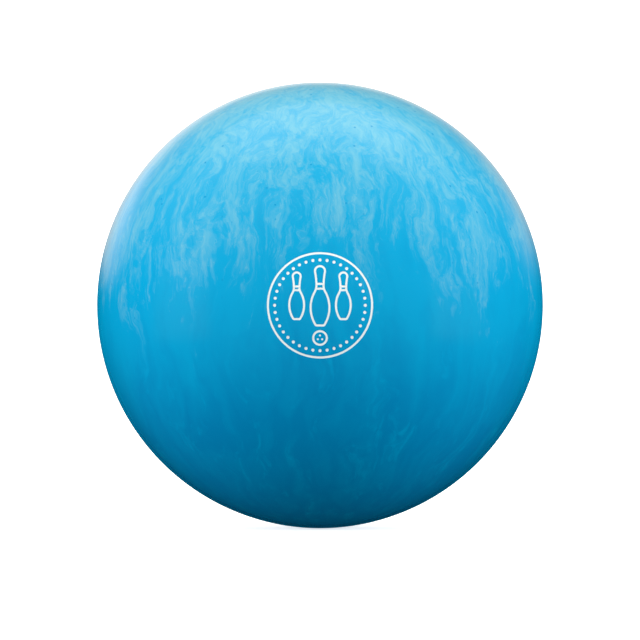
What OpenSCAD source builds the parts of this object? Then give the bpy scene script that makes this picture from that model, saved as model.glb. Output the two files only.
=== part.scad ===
// Bowling ball, undrilled, of three-piece build: weight block, outer core and coverstock.
// Millimetres. The origin is the ball's centre, +Z runs up the weight block's axis to the
// locator pin, and the engraved emblem faces -Y.

/* [Ball] */
// Finished outside diameter of the ball
ball_d = 218; // [180:0.5:264]
// Thickness of the coverstock, measured along a radius
cover_t = 19; // [14:0.5:24]

/* [Weight block] */
// Diameter of the block's round head
head_d = 104; // [84:1:126]
// Height of the head's centre above the ball's centre
head_z = 8; // [0:0.5:12]
// Height of the flat that the locator pin stands on
head_top_z = 58; // [50:0.5:60]
// Diameter of the flange under the head
flange_d = 116; // [96:1:126]
// Thickness of the flange, which has a full round edge
flange_t = 14; // [8:0.5:18]
// Height of the flange's middle, below the ball's centre
flange_z = -13; // [-18:0.5:-8]
// Diameter of the stem where it leaves the middle of the flange
stem_top_d = 96; // [80:1:100]
// Diameter of the stem's foot
stem_foot_d = 60; // [40:1:72]
// Height of the stem's foot, below the ball's centre
stem_foot_z = -60; // [-62:0.5:-40]

/* [Locator pin] */
// Diameter of the pin's shank, the dot that shows at the surface
locator_d = 9.5; // [6:0.1:12]
// Diameter of the pin's tip, in its socket in the weight block
locator_tip_d = 6.5; // [4:0.1:7.5]
// Length of the pin's tip
locator_tip_len = 12; // [8:0.5:15]

/* [Engraving] */
// Depth of every engraved groove, measured along a radius
groove_depth = 0.8; // [0.5:0.05:1.5]
// Depth of the paint's surface below the ball's surface
paint_recess = 0.15; // [0.05:0.01:0.3]
// Width of every engraved line
line_w = 1; // [0.5:0.05:1.3]
// Diameter of the emblem's outer ring, at the middle of its line
ring_d = 49.2; // [46:0.2:62]
// Diameter of the circle of beads inside the ring
bead_circle_d = 42.8; // [42:0.2:45.6]
// Diameter of one bead
bead_d = 1.5; // [1:0.1:2]
// Number of beads
bead_count = 40; // [12:1:60]

/* [Ten-pin figures] */
// Height of the middle figure
tall_h = 28; // [20:0.5:30]
// Height of the two side figures
short_h = 22; // [16:0.5:24]
// Height of the middle figure's foot, below the emblem's centre
tall_foot = -9.5; // [-11:0.5:-8]
// Height of the side figures' feet, below the emblem's centre
short_foot = -6.5; // [-8:0.5:-4]
// Distance from the emblem's centre to each side figure
short_x = 11; // [10:0.1:12]
// Diameter of the small ball figure, at the middle of its line
figure_ball_d = 6.4; // [5:0.1:7]
// Height of the small ball figure's centre, below the emblem's centre
figure_ball_y = -15.4; // [-16:0.1:-14.5]
// Diameter of the three finger holes drawn on the small ball figure
dimple_d = 1; // [0.6:0.1:1.2]
// Distance of those holes from the small ball's centre
dimple_at = 1.2; // [1:0.1:1.5]

/* [Centre of gravity mark] */
// Diameter of the painted dot
cg_mark_d = 3; // [2:0.1:5]
// Distance from the locator pin to the dot, measured over the surface
cg_distance = 76; // [30:1:120]

/* [Hidden] */
$fn = 96;
ball_r = ball_d / 2;
core_r = ball_r - cover_t;
cg_angle = cg_distance / ball_r * 180 / PI;
clear_of = 2;                              // how far a cutter runs past what it cuts
emblem_reach = (ring_d + line_w) / 2 + clear_of;
emblem_low = sqrt(pow(ball_r - groove_depth, 2) - pow(emblem_reach, 2)) - clear_of;
emblem_high = ball_r + clear_of;

// Shape of a ten-pin, as shares of its height: half widths and the heights they lie at.
belly = [0.159, 0.30];
neck = [0.060, 0.667];
head = [0.085, 0.915];
belly_r = 0.54;
stripes = [0.62, 0.70];
function waist_r(half, rise, r) =
    (pow(half, 2) + pow(rise, 2) - pow(r, 2)) / (2 * (r - half));
upper_waist_r = waist_r(neck[0], head[1] - neck[1], head[0]);
lower_waist_r = waist_r(neck[0] - belly[0] + belly_r, neck[1] - belly[1], belly_r);
belly_c = [belly[0] - belly_r, belly[1]];
low_c = [neck[0] + lower_waist_r, neck[1]];
up_c = [neck[0] + upper_waist_r, neck[1]];
low_turn = atan2(low_c[1] - belly_c[1], low_c[0] - belly_c[0]);
up_turn = atan2(up_c[1] - head[1], up_c[0]);
arc_steps = 8;                             // straight steps that make up one arc of a ten-pin

// ---- Shapes that pieces share ----

module spherical_shell(inner, outer) {
    difference() {
        sphere(r = outer);
        sphere(r = inner);
    }
}

// The outside of the weight block, and so the hollow it fills in the outer core.
module block_envelope() {
    intersection() {
        translate([0, 0, head_z]) sphere(d = head_d);
        translate([0, 0, head_top_z - head_d - clear_of])
            cylinder(d = head_d + clear_of, h = head_d + clear_of);
    }
    translate([0, 0, flange_z]) rotate_extrude() {
        translate([0, -flange_t / 2]) square([flange_d / 2 - flange_t / 2, flange_t]);
        translate([flange_d / 2 - flange_t / 2, 0]) circle(d = flange_t);
    }
    translate([0, 0, stem_foot_z])
        cylinder(d1 = stem_foot_d, d2 = stem_top_d, h = flange_z - stem_foot_z);
}

module locator_shank() {
    translate([0, 0, head_top_z]) cylinder(d = locator_d, h = ball_r);
}

module locator_tip() {
    translate([0, 0, head_top_z - locator_tip_len])
        cylinder(d = locator_tip_d, h = locator_tip_len + clear_of);
}

// ---- Engraved lines, as walls that cross the surface ----

// Stands flat drawings upright on the emblem's side of the ball, facing -Y.
module on_front() {
    rotate([90, 0, 0]) translate([0, 0, emblem_low]) children();
}

module wall() {
    linear_extrude(emblem_high - emblem_low) children();
}

module round_line(d) {
    wall() difference() {
        circle(d = d + line_w);
        circle(d = d - line_w);
    }
}

// Points on an arc, from one angle to another.
function arc_points(centre, r, from, to) = [
    for (i = [1 : arc_steps])
        centre + r * [cos(from + (to - from) * i / arc_steps), sin(from + (to - from) * i / arc_steps)]
];

// One side of a ten-pin of height h, grown outwards by grow: belly, lower waist, upper waist
// and half of the head, each an arc that runs smoothly into the next.
function tenpin_side(h, grow) = let (foot_r = h * belly_r + grow) concat(
    [h * belly_c + foot_r * [cos(foot_turn(h, grow)), sin(foot_turn(h, grow))]],
    arc_points(h * belly_c, foot_r, foot_turn(h, grow), low_turn),
    arc_points(h * low_c, h * lower_waist_r - grow, 180 + low_turn, 180),
    arc_points(h * up_c, h * upper_waist_r - grow, 180, 180 + up_turn),
    arc_points([0, h * head[1]], h * head[0] + grow, up_turn, 90)
);
function foot_turn(h, grow) = -asin((h * belly[1] + grow) / (h * belly_r + grow));

module tenpin(h, grow) {
    side = tenpin_side(h, grow);
    last = len(side) - 1;
    polygon(concat(side, [for (i = [1 : last]) [-side[last - i][0], side[last - i][1]]]));
}

// A ten-pin's outline and its two neck stripes.
module tenpin_lines(h) {
    wall() difference() {
        tenpin(h, line_w / 2);
        difference() {
            tenpin(h, -line_w / 2);
            for (y = stripes) translate([-h / 4, h * y - line_w / 2]) square([h / 2, line_w]);
        }
    }
}

module ring_lines() {
    on_front() round_line(ring_d);
}

module bead_lines() {
    on_front() for (i = [0 : bead_count - 1])
        rotate(360 * i / bead_count) translate([bead_circle_d / 2, 0, 0])
            wall() circle(d = bead_d);
}

module middle_tenpin_lines() {
    on_front() translate([0, tall_foot, 0]) tenpin_lines(tall_h);
}

module side_tenpin_lines(side) {
    on_front() translate([side * short_x, short_foot, 0]) tenpin_lines(short_h);
}

module figure_ball_lines() {
    on_front() translate([0, figure_ball_y, 0]) {
        round_line(figure_ball_d);
        for (turn = [90, 210, 330])
            rotate(turn) translate([dimple_at, 0, 0]) wall() circle(d = dimple_d);
    }
}

module cg_mark_line() {
    rotate([-cg_angle, 0, 0]) translate([0, 0, core_r]) cylinder(d = cg_mark_d, h = ball_r);
}

// Cuts a set of lines into the ball to the groove's depth.
module groove() {
    intersection() {
        children();
        spherical_shell(ball_r - groove_depth, ball_r + clear_of);
    }
}

// The paint that fills a set of lines from the groove's floor to just under the surface.
module paint() {
    color("white") intersection() {
        children();
        spherical_shell(ball_r - groove_depth, ball_r - paint_recess);
    }
}

// ---- Pieces ----

module coverstock() {
    color("deepskyblue") difference() {
        spherical_shell(core_r, ball_r);
        locator_shank();
        groove() ring_lines();
        groove() bead_lines();
        groove() middle_tenpin_lines();
        groove() side_tenpin_lines(-1);
        groove() side_tenpin_lines(1);
        groove() figure_ball_lines();
        groove() cg_mark_line();
    }
}

module outer_core() {
    color("gainsboro") difference() {
        sphere(r = core_r);
        block_envelope();
        locator_shank();
    }
}

module weight_block() {
    color("dimgray") difference() {
        block_envelope();
        locator_tip();
    }
}

module locator_pin() {
    color("white") intersection() {
        union() {
            locator_shank();
            locator_tip();
        }
        sphere(r = ball_r);
    }
}

coverstock();
outer_core();
weight_block();
locator_pin();
paint() ring_lines();  // ring_paint
paint() bead_lines();  // bead_paint
paint() middle_tenpin_lines();  // middle_tenpin_paint
paint() side_tenpin_lines(-1);  // left_tenpin_paint
paint() side_tenpin_lines(1);  // right_tenpin_paint
paint() figure_ball_lines();  // figure_ball_paint
paint() cg_mark_line();  // cg_mark_paint
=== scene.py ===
"""A swirled, undrilled bowling ball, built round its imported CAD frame.

The coverstock is a hollow sphere with softly lipped engraving, the emblem is white paint
lying in that engraving, and the cover's resin is a deep blue with pearl wisps dragged through it.
The origin is the ball's centre, the locator pin is at the top and the emblem faces -Y.
"""

import math

import bpy
import numpy as np
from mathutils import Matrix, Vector


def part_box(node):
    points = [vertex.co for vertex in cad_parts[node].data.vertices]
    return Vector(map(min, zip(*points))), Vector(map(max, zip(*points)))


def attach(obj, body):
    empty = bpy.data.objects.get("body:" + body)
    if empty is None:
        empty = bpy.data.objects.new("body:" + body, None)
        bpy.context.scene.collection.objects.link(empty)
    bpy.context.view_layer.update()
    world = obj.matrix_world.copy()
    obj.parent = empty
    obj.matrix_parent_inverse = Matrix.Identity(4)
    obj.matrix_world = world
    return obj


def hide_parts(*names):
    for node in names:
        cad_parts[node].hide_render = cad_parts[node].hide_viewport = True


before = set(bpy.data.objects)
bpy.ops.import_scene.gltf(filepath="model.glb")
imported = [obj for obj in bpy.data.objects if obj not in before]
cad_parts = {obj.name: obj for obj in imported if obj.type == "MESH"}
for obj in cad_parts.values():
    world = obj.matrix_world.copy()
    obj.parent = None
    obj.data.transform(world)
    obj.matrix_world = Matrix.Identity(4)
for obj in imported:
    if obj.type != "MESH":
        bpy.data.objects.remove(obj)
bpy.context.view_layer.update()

bl_info = {
    "name": "Swirled Bowling Ball",
    "version": (1, 0, 0),
    "blender": (4, 5, 0),
    "location": "3D Viewport > Sidebar > Bowling Ball",
    "description": "Builds an undrilled bowling ball with a painted, engraved emblem",
    "category": "Add Mesh",
}

MM = 0.001
BODY = "root"

# The locator pin's tip, and the softened edges where the pin meets the cover.
PIN_TIP_RADIUS = 3.25 * MM
PIN_TIP_LENGTH = 12.0 * MM
PIN_EDGE = 0.06 * MM

# The three finger holes of the small ball figure, and the angle of the first one.
DIMPLE_RADIUS = 0.5 * MM
DIMPLE_DISTANCE = 1.2 * MM
DIMPLE_COUNT = 3
DIMPLE_TURN = math.pi / 2

# The CAD nodes of the three ten-pin figures.
TENPIN_NODES = ("middle_tenpin_paint", "left_tenpin_paint", "right_tenpin_paint")

# A ten-pin figure of height 1: the half width and the height of its belly, neck and head, the
# radius of its belly's curve, and the heights of its neck stripes.
TENPIN_BELLY = (0.159, 0.30)
TENPIN_NECK = (0.060, 0.667)
TENPIN_HEAD = (0.085, 0.915)
TENPIN_BELLY_RADIUS = 0.54
TENPIN_STRIPES = (0.62, 0.70)

# How far a cutter runs past what it cuts, and how far paint beds into its groove's walls and floor.
CUTTER_OVERRUN = 1.0 * MM
PAINT_BED = 0.01 * MM

# Working sizes of the Geometry Nodes trees. A half section is swept round a circle of the turning
# radius, and its distances are taken from that circle.
TURNING_RADIUS = 1.0 * MM
AXIS_WELD = 0.0005 * MM
PATH_WELD = 0.02 * MM
CORNER_STEPS = 4
DOT_SIDES = 24
MARK_SIDES = 48
PART_SIDES = 96
RING_SIDES = 192
FIGURE_BALL_SIDES = 64
PIN_CROWN_STEPS = 10
COVER_FINENESS = 7

# The cover's polished skin: how near the true sphere it lies, and how nearly it faces outwards.
# Edges that turn by more than the sharp angle are shaded sharp.
SKIN_DEPTH = 0.012 * MM
SKIN_ANGLE = math.radians(35)
SHARP_ANGLE = math.radians(50)

# The cover's resin as it comes.
DEEP_BLUE = (0.0, 0.27, 0.585)
BRIGHT_BLUE = (0.0, 0.365, 0.69)
PEARL_BLUE = (0.14, 0.475, 0.68)
WISP_SCALE = 5.5

# The poured flow: how it opens out at the poles, how much it, its tongues and its streaks are
# drawn out along the ball's axis, and the noise that bends it (scale, detail and reach).
POLE_EASE = 0.08
POLE_SPREAD = 0.5
FLOW_STRETCH = 0.30
TONGUE_STRETCH = 0.36
STREAK_STRETCH = 0.3
BROAD_BEND = (2.0, 1.0, 0.22)
CURL_BEND = (6.0, 1.5, 0.16)
EDDY_BEND = (8.5, 2.0, 0.08)

# The pearl's lower edge: its lobes, and the arch it makes by distance from the front and back.
LOBE_SCALE = 2.9
LOBE_REACH = 0.5
FRINGE_ARCH = (0.0, 0.5, 0.22, -0.02)

# The pearl at three sizes (noise scale for each unit of wisp scale, detail and roughness), and the
# share each has in its thickness.
MASSES = (0.9, 3.0, 0.5)
TONGUES = (2.0, 4.0, 0.6)
SMOKE = (6.0, 3.0, 0.65)
MASSES_SHARE = 0.24
TONGUES_SHARE = 0.42
SMOKE_SHARE = 0.34

# What changes with height over the pearl's edge, and how it gathers near the top of the ball: the
# range that is read, then the range it becomes.
FRINGE_THINNING = (-0.25, 0.35, -0.16, 0.0)
TOP_GATHERING = (0.5, 0.95, 0.0, 0.06)
# The milky cast lightens the pearl smoothly towards the top of the ball: partly the pearl's own
# milkiness, partly painted sheen of the light from above.
MILKY_CAST_AND_PAINTED_SHEEN = (0.05, 0.8, 0.0, 0.2)
LAST_PEARL = (-0.32, 0.0, 0.0, 1.0)
PLAIN_CLEARING = (-0.65, 0.05, 0.12, 1.0)

# Thicknesses between which each kind of pearl comes in, and how strongly it shows.
VEIL_RANGE = (0.36, 0.50)
WISP_RANGE = (0.425, 0.55)
HEART_RANGE = (0.50, 0.63)
THREAD_RANGE = (0.42, 0.50)
FOLD_SHOW = (0.26, 0.5)
HEART_SHOW = 0.32
THREAD_SHOW = 0.34

# How densely folds and threads lie, how wide a thread is, and the streaks of the plain resin.
FOLD_DENSITY = 70.0
THREAD_DENSITY = 44.0
THREAD_WIDTH = 0.3
STREAK_SCALE = 12.0
STREAK_DETAIL = 4.0
STREAK_SHOW = 1.5

# Specks of plain resin in the pearl: the scale of their cells, which of the cells have one, and
# how it fades from its middle to its edge.
SPECK_SCALE = 26.0
SPECK_CHOICE = (0.87, 0.89)
SPECK_FADE = (0.08, 0.2, 0.9, 0.0)

# The other finishes: the emblem's paint, full and thin, the pin's plastic, pale and dark, and the
# cast resins of the pieces inside (material, colour, speck colour and speck scale).
PAINT_WHITE = (0.93, 0.99, 1.0)
THIN_PAINT = (0.86, 0.95, 1.0)
PIN_PALE = (0.86, 0.86, 0.82)
PIN_DARK = (0.74, 0.74, 0.7)
CAST_RESINS = {
    "outer_core": ("core_filler_resin", (0.6, 0.57, 0.48), (0.42, 0.39, 0.32), 350.0),
    "weight_block": ("weight_block_resin", (0.11, 0.11, 0.12), (0.32, 0.31, 0.3), 700.0),
}

# The stage, in metres: softboxes, floor and camera.
BALL_CENTRE = (0.0, 0.0, 0.0)
OVERHEAD_PLACE = (0.0, 0.25, 1.2)
OVERHEAD_SIZE = (1.2, 1.0)
SIDE_DISTANCE, SIDE_FORWARD, SIDE_HEIGHT = 1.45, -0.4, 0.1
SIDE_SIZE = (0.9, 0.9)
FLOOR_REACH = 6.0
FLOOR_SWEEP = 2.0
SWEEP_STEPS = 16
BACKDROP_HEIGHT = 8.0
FLOOR_WHITE = (0.9, 0.9, 0.9)
FLOOR_GLOW = 0.75
BALL_SHARE_OF_FRAME = 0.697
FRAME_SHIFT = -0.023
CAMERA_SEES_TO = 50.0

# Brightness of the dome that lights the ball, straight below and straight above.
DOME_BELOW = 0.024
DOME_ABOVE = 1.82

# Brightness of what the polish mirrors.
MIRRORED_CEILING = 0.6
MIRRORED_RIM = 0.35
MIRRORED_DUSK = 0.32
MIRRORED_DARK = 0.01

# Colours of the lit surroundings level and above, and of the mirrored dusk.
LEVEL_TINT = (0.98, 0.99, 1.0)
ABOVE_TINT = (1.0, 0.985, 0.85)
DUSK_TINT = (0.0, 0.45, 0.78)


# ---- Sizes read from the frame ----


def box_centre(node):
    """The middle of a CAD node's box."""
    low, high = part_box(node)
    return (low + high) / 2


def box_size(node):
    """The size of a CAD node's box along X, Y and Z."""
    low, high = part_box(node)
    return high - low


BALL_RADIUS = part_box("locator_pin")[1].z
CORE_RADIUS = box_size("outer_core").z / 2
PIN_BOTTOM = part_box("locator_pin")[0].z


# ---- Settings that a user would change ----


class EngravingSizes(bpy.types.PropertyGroup):
    """Sizes of the engraved grooves and of the paint in them."""

    line_width: bpy.props.FloatProperty(
        name="Line Width",
        description="Width of an engraved line between its walls",
        default=1.0 * MM,
        min=0.3 * MM,
        max=2.0 * MM,
        precision=5,
        unit="LENGTH",
    )
    depth: bpy.props.FloatProperty(
        name="Groove Depth",
        description="Depth of the grooves, measured along a radius of the ball",
        default=0.8 * MM,
        min=0.3 * MM,
        max=2.0 * MM,
        precision=5,
        unit="LENGTH",
    )
    lip: bpy.props.FloatProperty(
        name="Lip Radius",
        description="Radius that polishing leaves on the edge of a groove",
        default=0.1 * MM,
        min=0.02 * MM,
        max=0.3 * MM,
        precision=5,
        unit="LENGTH",
    )
    paint_recess: bpy.props.FloatProperty(
        name="Paint Recess",
        description="Depth of the paint's surface at the middle of a line",
        default=0.16 * MM,
        min=0.15 * MM,
        max=0.5 * MM,
        precision=5,
        unit="LENGTH",
    )
    paint_creep: bpy.props.FloatProperty(
        name="Paint Creep",
        description="How far the wet paint climbed the walls above its middle",
        default=0.05 * MM,
        min=0.0,
        max=0.15 * MM,
        precision=5,
        unit="LENGTH",
    )
    corner_radius: bpy.props.FloatProperty(
        name="Corner Radius",
        description="Radius of the corners that the round cutter leaves",
        default=0.5 * MM,
        min=0.0,
        max=1.0 * MM,
        precision=5,
        unit="LENGTH",
    )
    bead_diameter: bpy.props.FloatProperty(
        name="Bead Diameter",
        description="Diameter of each dot in the emblem's inner circle",
        default=1.5 * MM,
        min=0.5 * MM,
        max=2.0 * MM,
        precision=5,
        unit="LENGTH",
    )
    bead_count: bpy.props.IntProperty(
        name="Beads",
        description="Number of dots in the emblem's inner circle",
        default=40,
        min=8,
        max=60,
    )


class ResinLook(bpy.types.PropertyGroup):
    """Colours and pattern of the cover's swirled resin."""

    deep: bpy.props.FloatVectorProperty(
        name="Deep Blue",
        description="Colour of the plain resin",
        default=DEEP_BLUE,
        size=3,
        min=0.0,
        max=1.0,
        subtype="COLOR",
    )
    bright: bpy.props.FloatVectorProperty(
        name="Bright Blue",
        description="Colour of the thin veils of pearl resin",
        default=BRIGHT_BLUE,
        size=3,
        min=0.0,
        max=1.0,
        subtype="COLOR",
    )
    pearl: bpy.props.FloatVectorProperty(
        name="Pearl",
        description="Colour of the thickest pearl wisps",
        default=PEARL_BLUE,
        size=3,
        min=0.0,
        max=1.0,
        subtype="COLOR",
    )
    wisp_scale: bpy.props.FloatProperty(
        name="Wisp Scale",
        description="Scale of the pattern: a higher one gives more and smaller wisps",
        default=WISP_SCALE,
        min=1.0,
        max=20.0,
    )


class StudioLook(bpy.types.PropertyGroup):
    """Camera and lights."""

    camera_distance: bpy.props.FloatProperty(
        name="Camera Distance",
        description="Distance from the camera to the middle of the ball",
        default=3.0,
        min=0.5,
        max=5.0,
        unit="LENGTH",
    )
    top_power: bpy.props.FloatProperty(
        name="Overhead Power",
        description="Power of the large soft light overhead",
        default=1.0,
        min=0.0,
        max=200.0,
        unit="POWER",
    )
    side_power: bpy.props.FloatProperty(
        name="Side Power",
        description="Power of each of the two side lights",
        default=11.0,
        min=0.0,
        max=200.0,
        unit="POWER",
    )


class BowlingBallSettings(bpy.types.PropertyGroup):
    """Everything that can be set for the ball."""

    engraving: bpy.props.PointerProperty(type=EngravingSizes)
    resin: bpy.props.PointerProperty(type=ResinLook)
    studio: bpy.props.PointerProperty(type=StudioLook)


# ---- Node building ----


def put(tree, kind, options=None, **inputs):
    """Adds a node and fills its inputs, each with a value or with another node's output.

    An input is named in lower case with underscores, or by its place as in_0, in_1. A list links
    several outputs to one input.
    """
    node = tree.nodes.new(kind)
    for name, value in (options or {}).items():
        setattr(node, name, value)
    by_name = {}
    for socket in node.inputs:
        if socket.enabled:
            by_name.setdefault(socket.name.lower().replace(" ", "_"), socket)
    for name, value in inputs.items():
        place = name.removeprefix("in_")
        socket = node.inputs[int(place)] if place.isdigit() else by_name[name]
        for one in value if isinstance(value, list) else [value]:
            if isinstance(one, bpy.types.NodeSocket):
                tree.links.new(one, socket)
            else:
                socket.default_value = one
    return node


def calc(tree, operation, *values, clamp=False):
    """One step of arithmetic. Returns its output."""
    options = {"operation": operation, "use_clamp": clamp}
    inputs = {f"in_{place}": value for place, value in enumerate(values)}
    return put(tree, "ShaderNodeMath", options, **inputs).outputs[0]


def product(tree, first, *others):
    """Several values multiplied together."""
    total = first
    for other in others:
        total = calc(tree, "MULTIPLY", total, other)
    return total


def vector_calc(tree, operation, *values):
    """One step of vector arithmetic. Returns the vector that comes out."""
    inputs = {f"in_{place}": value for place, value in enumerate(values)}
    return put(tree, "ShaderNodeVectorMath", {"operation": operation}, **inputs).outputs[0]


def scaled(tree, vector, factor):
    """A vector times a number."""
    options = {"operation": "SCALE"}
    return put(tree, "ShaderNodeVectorMath", options, vector=vector, scale=factor).outputs[0]


def stretched(tree, place, factor):
    """A place with its third part times a factor. Under 1, it draws a pattern out along the axis."""
    return vector_calc(tree, "MULTIPLY", place, (1.0, 1.0, factor))


def split(tree, vector):
    """The three parts of a vector."""
    return put(tree, "ShaderNodeSeparateXYZ", vector=vector).outputs


def join(tree, x, y, z):
    """A vector from its three parts."""
    return put(tree, "ShaderNodeCombineXYZ", x=x, y=y, z=z).outputs[0]


def graded(tree, value, low, high, to_low=0.0, to_high=1.0, smooth=True):
    """A value taken from one range to another, smoothly or in a straight line, and held at its ends."""
    node = put(
        tree,
        "ShaderNodeMapRange",
        {"interpolation_type": "SMOOTHSTEP" if smooth else "LINEAR"},
        value=value,
        from_min=low,
        from_max=high,
        to_min=to_low,
        to_max=to_high,
    )
    return node.outputs[0]


def cloud(tree, vector, scale, detail=3.0, roughness=0.5, distortion=0.0):
    """Soft cloudy noise. Returns its value, then its three-part colour."""
    node = put(
        tree,
        "ShaderNodeTexNoise",
        {"noise_dimensions": "3D"},
        vector=vector,
        scale=scale,
        detail=detail,
        roughness=roughness,
        distortion=distortion,
    )
    return node.outputs[0], node.outputs[1]


def opaque(color):
    """A three-part colour with full alpha, as a colour socket takes it."""
    return (*color, 1.0)


def blended(tree, factor, first, second):
    """Two colours mixed by a factor. Each is another node's output or three parts."""
    ends = [end if isinstance(end, bpy.types.NodeSocket) else opaque(end) for end in (first, second)]
    node = put(tree, "ShaderNodeMix", {"data_type": "RGBA"}, in_0=factor, in_6=ends[0], in_7=ends[1])
    return node.outputs[2]


def new_group(name, kind, inputs, outputs):
    """A node group with named sockets. Returns the tree, its inputs by name and its output node."""
    tree = bpy.data.node_groups.new(name, kind)
    for label, socket, value in inputs:
        made = tree.interface.new_socket(label, in_out="INPUT", socket_type=socket)
        if value is not None:
            made.default_value = value
    for label, socket in outputs:
        tree.interface.new_socket(label, in_out="OUTPUT", socket_type=socket)
    given = tree.nodes.new("NodeGroupInput").outputs
    result = tree.nodes.new("NodeGroupOutput")
    return tree, given, result


def use_group(tree, group, **inputs):
    """Places a node group in a tree. Returns its outputs."""
    node = tree.nodes.new("ShaderNodeGroup")
    node.node_tree = group
    for name, value in inputs.items():
        socket = node.inputs[name.replace("_", " ").title()]
        if isinstance(value, bpy.types.NodeSocket):
            tree.links.new(value, socket)
        else:
            socket.default_value = value
    return node.outputs


# ---- Meshes made by Geometry Nodes ----


def edge_path(name, points, closed):
    """A path of straight edges through points, as the source of a sweep."""
    mesh = bpy.data.meshes.new(name)
    edges = [(i, i + 1) for i in range(len(points) - 1)]
    if closed:
        edges.append((len(points) - 1, 0))
    mesh.from_pydata([(x, y, 0.0) for x, y in points], edges, [])
    made = bpy.data.objects.new(name, mesh)
    bpy.context.collection.objects.link(made)
    return made


def plain_copy(source, name):
    """A new object with a plain mesh, which has the shape that a source's modifiers give it."""
    bpy.context.view_layer.update()
    evaluated = source.evaluated_get(bpy.context.evaluated_depsgraph_get())
    mesh = bpy.data.meshes.new_from_object(evaluated)
    if not mesh.polygons:
        raise RuntimeError(f"{name} came out empty")
    mesh.name = name
    made = bpy.data.objects.new(name, mesh)
    bpy.context.collection.objects.link(made)
    return made


def grown_by(tree, source, name, **values):
    """Runs a Geometry Nodes tree on a source object and keeps the result as a plain mesh object."""
    modifier = source.modifiers.new("shape", "NODES")
    modifier.node_group = tree
    for item in tree.interface.items_tree:
        key = item.name.lower().replace(" ", "_")
        if item.in_out == "INPUT" and key in values:
            modifier[item.identifier] = values[key]
    made = plain_copy(source, name)
    source.modifiers.remove(modifier)
    return made


def discard(*objects):
    """Removes helper objects that aren't part of the ball."""
    for item in objects:
        bpy.data.objects.remove(item)


def laid_on_ball(tree, geometry, ball_radius):
    """Lays flat work on the ball's front: X stays, Y goes up, and Z is height over the surface."""
    x, y, height = split(tree, put(tree, "GeometryNodeInputPosition").outputs[0])
    radius = calc(tree, "ADD", ball_radius, height)
    off_axis = calc(tree, "ADD", product(tree, x, x), product(tree, y, y))
    forward = calc(tree, "SQRT", calc(tree, "SUBTRACT", product(tree, radius, radius), off_axis))
    place = join(tree, x, product(tree, forward, -1.0), y)
    return put(tree, "GeometryNodeSetPosition", geometry=geometry, position=place).outputs[0]


def finished_output(tree, result, geometry, material):
    """Ends a tree: instances made real, smooth faces and the material set."""
    real = put(tree, "GeometryNodeRealizeInstances", geometry=geometry).outputs[0]
    smooth = put(tree, "GeometryNodeSetShadeSmooth", in_0=real).outputs[0]
    painted = put(tree, "GeometryNodeSetMaterial", geometry=smooth, material=material).outputs[0]
    tree.links.new(painted, result.inputs[0])


def engraved_line_tree():
    """Sweeps a section along a flat path and lays it on the ball."""
    tree, given, result = new_group(
        "Engraved Line",
        "GeometryNodeTree",
        [
            ("Path", "NodeSocketGeometry", None),
            ("Section", "NodeSocketObject", None),
            ("Corner Radius", "NodeSocketFloat", 0.5 * MM),
            ("Ball Radius", "NodeSocketFloat", BALL_RADIUS),
            ("Material", "NodeSocketMaterial", None),
        ],
        [("Mesh", "NodeSocketGeometry")],
    )
    path = put(tree, "GeometryNodeMeshToCurve", in_0=given["Path"]).outputs[0]
    rounded = put(
        tree, "GeometryNodeFilletCurve", curve=path, radius=given["Corner Radius"], limit_radius=True
    )
    rounded.mode = "POLY"
    rounded.inputs["Count"].default_value = CORNER_STEPS
    wire = put(tree, "GeometryNodeCurveToMesh", curve=rounded.outputs[0]).outputs[0]
    spaced = put(tree, "GeometryNodeMergeByDistance", geometry=wire, distance=PATH_WELD).outputs[0]
    even = put(tree, "GeometryNodeMeshToCurve", in_0=spaced).outputs[0]
    upright = put(tree, "GeometryNodeSetCurveNormal", {"mode": "Z_UP"}, curve=even).outputs[0]
    drawn = put(tree, "GeometryNodeObjectInfo", object=given["Section"]).outputs["Geometry"]
    section = put(tree, "GeometryNodeMeshToCurve", in_0=drawn).outputs[0]
    swept = put(
        tree, "GeometryNodeCurveToMesh", curve=upright, profile_curve=section, fill_caps=True
    ).outputs[0]
    laid = laid_on_ball(tree, swept, given["Ball Radius"])
    finished_output(tree, result, laid, given["Material"])
    return tree


def turned_shape(tree, profile, sides):
    """Turns a half section about the vertical axis and welds it shut where it meets the axis."""
    upright = put(tree, "GeometryNodeMeshToCurve", in_0=profile).outputs[0]
    circle = put(
        tree, "GeometryNodeCurvePrimitiveCircle", resolution=sides, radius=TURNING_RADIUS
    ).outputs[0]
    around = put(tree, "GeometryNodeSetCurveNormal", {"mode": "Z_UP"}, curve=circle).outputs[0]
    turned = put(tree, "GeometryNodeCurveToMesh", curve=around, profile_curve=upright).outputs[0]
    welded = put(tree, "GeometryNodeMergeByDistance", geometry=turned, distance=AXIS_WELD).outputs[0]
    return put(tree, "GeometryNodeFlipFaces", mesh=welded).outputs[0]


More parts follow.
